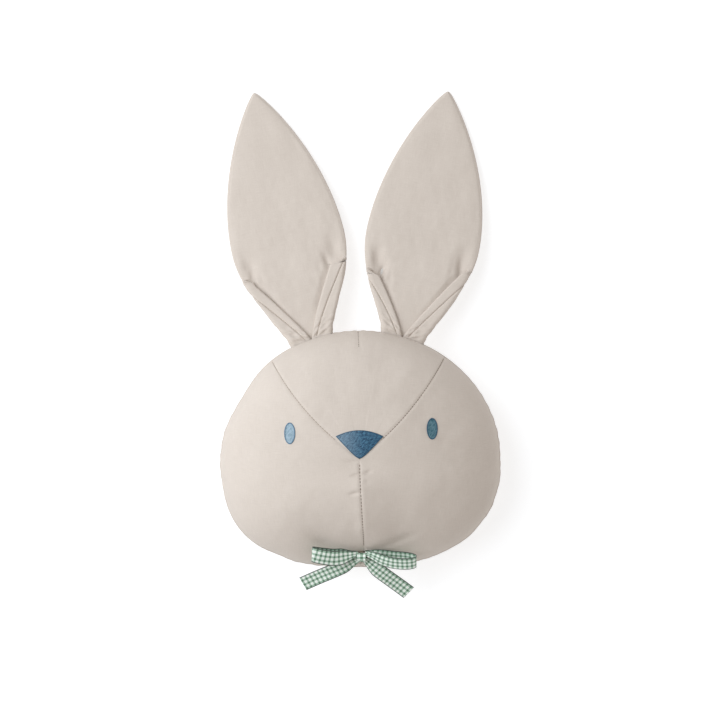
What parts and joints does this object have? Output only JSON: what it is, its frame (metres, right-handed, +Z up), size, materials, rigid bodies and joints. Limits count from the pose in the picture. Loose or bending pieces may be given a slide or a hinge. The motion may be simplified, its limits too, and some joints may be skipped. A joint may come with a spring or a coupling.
{
  "type": "bunny head cushion",
  "caption": "Plush bunny-head cushion in natural linen with padded pleated ears, embroidered blue eyes and nose, and a gingham ribbon bow.",
  "frame": {"origin": "on the floor, straight below the point where the three face panels meet under the nose, with the cushion lying on its back", "axes": "+Z up out of the face, +Y from the chin to the ear tips, +X to the right of a viewer who looks down at the face"},
  "size_m": [0.2795, 0.5038, 0.1211],
  "materials": {
    "linen": "fine plain-weave cotton and linen, matt",
    "wadding": "white polyester fibre",
    "blue_stitching": "machine fill embroidery, soft sheen",
    "blue_outline": "satin stitch, soft sheen",
    "beige_thread": "sewing thread",
    "brown_thread": "sewing thread",
    "gingham_ribbon": "woven green and white check, satin"
  },
  "bodies": {
    "head": {"head_filling": "wadding", "forehead_panel": "linen", "left_cheek_panel": "linen", "right_cheek_panel": "linen", "back_panel": "linen", "rim_seam_thread": "beige_thread", "left_brow_seam_thread": "beige_thread", "right_brow_seam_thread": "beige_thread", "chin_seam_thread": "brown_thread", "crown_dart_thread": "brown_thread", "closing_thread": "beige_thread", "left_eye_fill": "blue_stitching", "left_eye_border": "blue_outline", "right_eye_fill": "blue_stitching", "right_eye_border": "blue_outline", "nose_fill": "blue_stitching", "nose_border": "blue_outline", "left_ear_tack_thread": "beige_thread", "right_ear_tack_thread": "beige_thread", "bow_tack_thread": "beige_thread"},
    "left_ear": {"left_ear_front_panel": "linen", "left_ear_back_panel": "linen", "left_ear_wadding": "wadding", "left_ear_edge_thread": "beige_thread"},
    "right_ear": {"right_ear_front_panel": "linen", "right_ear_back_panel": "linen", "right_ear_wadding": "wadding", "right_ear_edge_thread": "beige_thread"},
    "bow": {"bow_knot": "gingham_ribbon"},
    "left_loop": {"bow_left_loop": "gingham_ribbon"},
    "right_loop": {"bow_right_loop": "gingham_ribbon"},
    "left_tail": {"bow_left_tail": "gingham_ribbon"},
    "right_tail": {"bow_right_tail": "gingham_ribbon"}
  },
  "joints": [
    {"name": "left_ear_fold", "type": "hinge", "parent": "head", "child": "left_ear", "pos_m": [-0.05042, 0.126, 0.042], "axis": [0.9471, 0.3211, 0], "range_deg": [-36, 46]},
    {"name": "right_ear_fold", "type": "hinge", "parent": "head", "child": "right_ear", "pos_m": [0.04314, 0.12824, 0.042], "axis": [0.9616, -0.2744, 0], "range_deg": [-36, 46]},
    {"name": "bow_turn", "type": "hinge", "parent": "head", "child": "bow", "pos_m": [0.001, -0.097, 0.078], "axis": [0, -0.4067, 0.9135], "range_deg": [-6, 6], "stiffness_Nm_per_rad": 0.01},
    {"name": "left_loop_lift", "type": "hinge", "parent": "bow", "child": "left_loop", "pos_m": [-0.0052, -0.097, 0.078], "axis": [0, 0.9135, 0.4067], "range_deg": [0, 50], "stiffness_Nm_per_rad": 0.002},
    {"name": "right_loop_lift", "type": "hinge", "parent": "bow", "child": "right_loop", "pos_m": [0.0072, -0.097, 0.078], "axis": [0, -0.9135, -0.4067], "range_deg": [0, 50], "stiffness_Nm_per_rad": 0.002},
    {"name": "left_tail_lift", "type": "hinge", "parent": "bow", "child": "left_tail", "pos_m": [-0.006, -0.1001, 0.07268], "axis": [-0.5, 0.7912, 0.3522], "range_deg": [-8, 6], "stiffness_Nm_per_rad": 0.002},
    {"name": "right_tail_lift", "type": "hinge", "parent": "bow", "child": "right_tail", "pos_m": [0.008, -0.1001, 0.07268], "axis": [-0.6921, -0.6594, -0.2936], "range_deg": [-8, 6], "stiffness_Nm_per_rad": 0.002}
  ]
}
